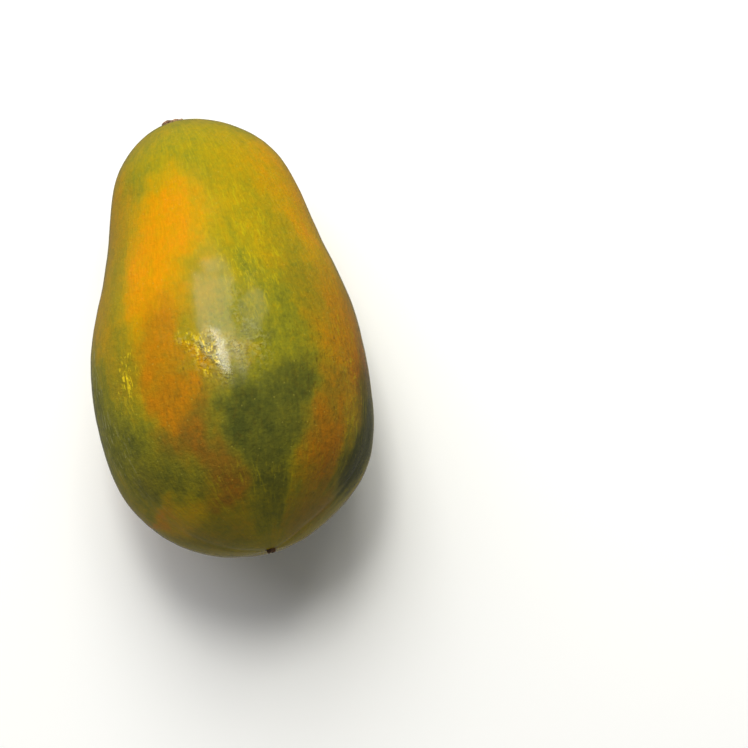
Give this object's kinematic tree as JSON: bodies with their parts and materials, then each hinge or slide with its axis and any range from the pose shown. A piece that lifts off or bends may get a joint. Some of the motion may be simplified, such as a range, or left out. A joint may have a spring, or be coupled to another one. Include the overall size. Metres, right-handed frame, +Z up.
{
  "type": "papaya",
  "caption": "Large pear-shaped papaya, half ripe, lying on its side on a small flat spot, with a short cut stem stub and faint lengthwise seams.",
  "frame": {"origin": "under the middle of the fruit's box, on the surface that it rests on", "axes": "+Y towards the stem end, which hangs a little lower than the middle; +X to the right seen from above with the stem end up; +Z up"},
  "size_m": [0.1316, 0.2164, 0.1329],
  "materials": {
    "skin": "waxy fruit skin, mottled green, yellow and orange",
    "stem": "dry corky stem stub and flower scar"
  },
  "bodies": {
    "root": {"papaya": "skin"}
  },
  "joints": []
}
